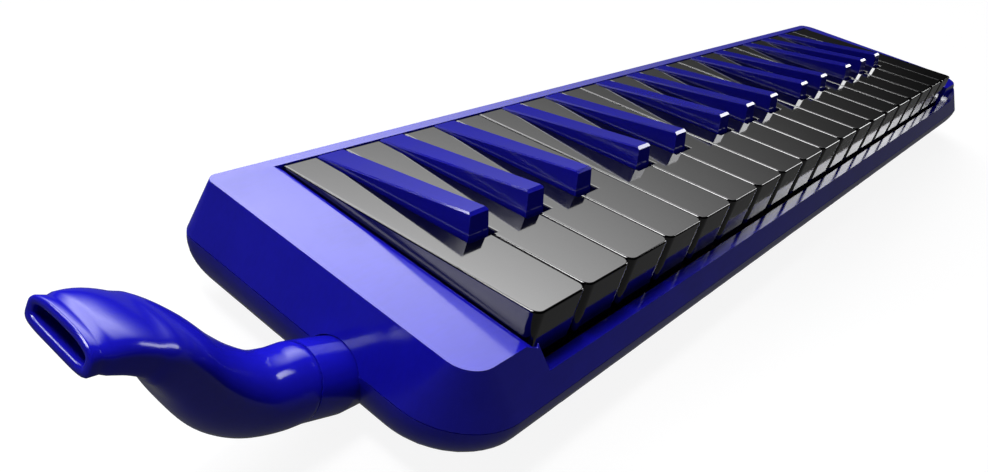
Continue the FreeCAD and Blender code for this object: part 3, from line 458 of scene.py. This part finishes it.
def tube_ring(centre, along, wide, high, flat):
    """Closed section: an arch on top, flatter and squarer below; wide and high in mm."""
    up = Vector((-along.z, 0, along.x)) * -1.0
    side = Vector((0, 1, 0))
    ring = []
    for number in range(AROUND):
        angle = 2 * math.pi * number / AROUND
        across, rise = math.cos(angle), math.sin(angle)
        corner = 2.0 / (2.0 + (ARCH_SQUARED if rise > 0 else BASE_SQUARED) * flat)
        aside = side * power(across, corner) * wide * MM
        above = up * power(rise, corner) * high * MM
        ring.append(centre + aside + above)
    return ring


def outer_rings():
    """From the lip back to the shoulder that meets the case."""
    rings = []
    for number in range((len(TUBE) - 1) * PER_SPAN, -1, -1):
        place = number / PER_SPAN
        centre, wide, high, flat = station(place)
        past = place - CREASE_AT
        drop = CREASE_DROP * max(0.0, min(1.0, past * CREASE_STEEP)) * max(0.0, 1 - past * CREASE_EASE)
        rings.append(tube_ring(centre, tangent(place), wide - drop * 0.5, high - drop, flat))
    return rings


def lip_rings():
    """The rolled bead round the mouth, from inside the slot out to the tube's skin."""
    place = len(TUBE) - 1
    centre, wide, high, flat = station(place)
    along = tangent(place)
    proud = BEAD * 0.3
    rings = []
    for turn in range(BEAD_STEPS + 1):
        angle = math.pi * turn / BEAD_STEPS
        inward = WALL / 2 + math.cos(angle) * (WALL / 2 + BEAD * 0.5)
        ahead = math.sin(angle) * BEAD_AHEAD * MM
        wide_here, high_here = wide - inward + proud, high - inward + proud
        rings.append(tube_ring(centre + along * ahead, along, wide_here, high_here, flat))
    rings.append(tube_ring(centre - along * BEAD_BACK * MM, along, wide + proud, high + proud, flat))
    rings.append(tube_ring(centre - along * BEAD_END * MM, along, wide, high, flat))
    return rings


def bore_rings():
    """From the spigot's end through the tube to the slot behind the lip."""
    rings = []
    start = station(0)[0]
    for back in (SPIGOT_LONG, SPIGOT_LONG * 0.5, 0.0):
        rings.append(tube_ring(start + INWARD * back * MM, -INWARD, SPIGOT_BORE, SPIGOT_BORE, 0.0))
    last = len(TUBE) - 1
    for number in range(PER_SPAN, last * PER_SPAN, 2):
        place = number / PER_SPAN
        centre, wide, high, flat = station(place)
        open_up = min(1.0, (place - BORE_OPENS) / BORE_OPEN_OVER)
        inner_wide = SPIGOT_BORE + (wide - WALL - SPIGOT_BORE) * open_up
        inner_high = SPIGOT_BORE + (high - WALL - SPIGOT_BORE) * open_up
        rings.append(tube_ring(centre, tangent(place), inner_wide, inner_high, flat))
    return rings


def root_rings():
    """The rounded shoulder at the case, then the spigot that plugs into the socket."""
    start, wide, high, _ = station(0)
    rings = []
    for back, less in SHOULDER:
        rings.append(tube_ring(start + INWARD * back * MM, -INWARD, wide - less, high - less, 0.0))
    spigot = ((0.2, SPIGOT_RADIUS + 0.3), (0.5, SPIGOT_RADIUS),
              (SPIGOT_LONG - SPIGOT_CHAMFER, SPIGOT_RADIUS), (SPIGOT_LONG, SPIGOT_RADIUS - SPIGOT_CHAMFER))
    for back, radius in spigot:
        rings.append(tube_ring(start + INWARD * back * MM, -INWARD, radius, radius, 0.0))
    return rings


def skin_rings(name, rings):
    """A mesh skinned over rings, with the last ring joined to the first."""
    mesh = bmesh.new()
    made = [[mesh.verts.new(point) for point in ring] for ring in rings]
    for first, second in zip(made, made[1:] + made[:1]):
        for number in range(len(first)):
            after = (number + 1) % len(first)
            mesh.faces.new((first[number], first[after], second[after], second[number]))
    bmesh.ops.recalc_face_normals(mesh, faces=mesh.faces)
    for face in mesh.faces:
        face.smooth = True
    data = bpy.data.meshes.new(name)
    mesh.to_mesh(data)
    mesh.free()
    piece = bpy.data.objects.new(name, data)
    scene.collection.objects.link(piece)
    return piece


def joint_named(name):
    return next(joint for joint in frame["joints"] if joint["name"] == name)


TUBE_Y = sum(corner.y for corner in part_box("mouthpiece")) / 2
INWARD = -Vector(joint_named("mouthpiece_pull")["axis"]).normalized()


def make_mouthpiece():
    skin = outer_rings()[BEAD_COVERS:]
    piece = skin_rings("mouthpiece_shell", bore_rings() + lip_rings() + skin + root_rings())
    piece.data.materials.append(FINISHES["case_plastic"])
    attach(piece, "mouthpiece")
    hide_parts("mouthpiece")


make_mouthpiece()


# ---------------------------------------------------------------- floor, light and air
WHITE = (1, 1, 1, 1)
FLOOR_WIDE, FLOOR_BELOW = 50.0, 0.4 * MM
FLOOR_GLOW, FLOOR_LIT = 1.12, 0.2       # what the eye sees: its own glow, and the share that takes light
FLOOR_HAZE = 0.09                       # what the gloss sees of it


def make_floor():
    """A pale floor that looks white and lit to the eye but throws little light back at the gloss."""
    bpy.ops.mesh.primitive_plane_add(size=FLOOR_WIDE, location=(0, 0, -FLOOR_BELOW))
    floor = bpy.context.object
    floor.name = "floor"
    finish, tree, shader = new_finish("Pale floor")
    tree.nodes.remove(shader)
    lit = add(tree, "ShaderNodeBsdfDiffuse", {"Color": (0.85, 0.85, 0.86, 1)})
    glow = add(tree, "ShaderNodeEmission", {"Color": WHITE, "Strength": FLOOR_GLOW})
    seen = mix_shader(tree, FLOOR_LIT, glow, lit)
    dark = add(tree, "ShaderNodeBsdfDiffuse", {"Color": (0.03, 0.03, 0.035, 1)})
    haze = add(tree, "ShaderNodeEmission", {"Color": WHITE, "Strength": FLOOR_HAZE})
    ray = tree.nodes.new("ShaderNodeLightPath").outputs
    thrown = mix_shader(tree, ray["Is Glossy Ray"], dark, haze)
    pick = mix_shader(tree, ray["Is Camera Ray"], thrown, seen)
    tree.links.new(pick.outputs[0], tree.nodes["Material Output"].inputs["Surface"])
    floor.data.materials.append(finish)


SOFTBOX_TOWARDS = math.radians(60.0)    # where the graded light stands, from +X towards +Y
SECTOR_FROM, SECTOR_FULL = 0.616, 0.978 # cosines off that direction where it starts and is whole
GRADE_LEVEL, GRADE_POWER, GRADE_TOP = 61.0, 3.6, 5.4    # level * rise ** power, up to the top
FADE_FROM, FADE_TO = 0.72, 0.92         # sines of the elevation over which it ends
AMBIENT = 0.003


def make_air():
    """Dark studio air with one large graded light beyond the keyboard; plain and pale to the eye."""
    world = bpy.data.worlds.new("Studio")
    scene.world = world
    world.use_nodes = True
    tree = world.node_tree
    tree.nodes.clear()
    way = tree.nodes.new("ShaderNodeTexCoord").outputs["Generated"]
    rise = add(tree, "ShaderNodeSeparateXYZ", {0: way}).outputs["Z"]
    level = vector_math(tree, "NORMALIZE", vector_math(tree, "MULTIPLY", way, (1, 1, 0)))
    aim = (math.cos(SOFTBOX_TOWARDS), math.sin(SOFTBOX_TOWARDS), 0)
    facing = vector_math(tree, "DOT_PRODUCT", level, aim, "Value")
    sector = spread(tree, facing, SECTOR_FROM, SECTOR_FULL)
    height = math_node(tree, "POWER", math_node(tree, "MAXIMUM", rise, 0.0), GRADE_POWER)
    graded = math_node(tree, "MINIMUM", times(tree, height, GRADE_LEVEL), GRADE_TOP)
    ends = {"Value": rise, "From Min": FADE_FROM, "From Max": FADE_TO, "To Min": 1.0, "To Max": 0.0}
    fade = add(tree, "ShaderNodeMapRange", ends, interpolation_type="SMOOTHSTEP").outputs["Result"]
    light = times(tree, times(tree, graded, sector), fade)
    studio = add(tree, "ShaderNodeBackground", {"Color": WHITE, "Strength": plus(tree, light, AMBIENT)})
    plain = add(tree, "ShaderNodeBackground", {"Color": (0.95, 0.95, 0.96, 1), "Strength": 1.0})
    eye = tree.nodes.new("ShaderNodeLightPath").outputs["Is Camera Ray"]
    pick = mix_shader(tree, eye, studio, plain)
    out = tree.nodes.new("ShaderNodeOutputWorld")
    tree.links.new(pick.outputs[0], out.inputs["Surface"])


def stand(name, data, place, target):
    """A lamp at a place, turned to a target and hidden from the eye."""
    light = bpy.data.objects.new(name, data)
    scene.collection.objects.link(light)
    light.location = place
    light.rotation_mode = "QUATERNION"
    light.rotation_quaternion = (Vector(place) - Vector(target)).to_track_quat("Z", "Y")
    light.visible_camera = False
    return light


def area_light(name, place, target, wide, high, watts):
    data = bpy.data.lights.new(name, "AREA")
    data.shape, data.size, data.size_y, data.energy = "RECTANGLE", wide, high, watts
    return stand(name, data, place, target)


def spot_light(name, place, target, degrees, soft, watts):
    data = bpy.data.lights.new(name, "SPOT")
    data.energy, data.spot_size, data.spot_blend = watts, math.radians(degrees), 1.0
    data.shadow_soft_size = soft
    return stand(name, data, place, target)


LEFT_END = (-0.22, 0.0, 0.03)
WINDOW_AT, WINDOW_HIGH, WINDOW_WATTS = (-0.55, 0.45, 0.75), 0.62, 30    # watts per metre of width
WINDOWS = ((-0.16, 0.26), (0.05, 0.12))     # how far each is shifted, and its width


def make_lights():
    """Soft lights that only colour the sides, and sharp-edged ones that show in the gloss."""
    for soft in (area_light("top_light", (-0.15, 0.25, 1.1), (-0.05, 0.0, 0.0), 0.9, 0.6, 1.2),
                 area_light("left_fill", (-1.3, -0.15, 0.35), LEFT_END, 0.7, 0.5, 1.5),
                 area_light("front_fill", (0.3, -1.5, 0.7), (0.0, 0.0, 0.0), 1.2, 0.4, 1.6),
                 spot_light("left_spot", (-0.34, 0.1, 0.62), LEFT_END, 38, 0.08, 7.5)):
        soft.visible_glossy = False
    shown = [area_light("edge_light", (1.35, -0.24, 0.61), (0.0, -0.02, 0.03), 0.3, 0.56, 3.2)]
    for shift, wide in WINDOWS:
        place = (WINDOW_AT[0] + shift, WINDOW_AT[1] + shift, WINDOW_AT[2])
        name = "window_%d" % (wide * 100)
        shown.append(area_light(name, place, LEFT_END, wide, WINDOW_HIGH, wide * WINDOW_WATTS))
    for light in shown:
        light.visible_diffuse = False


make_floor()
make_air()
make_lights()
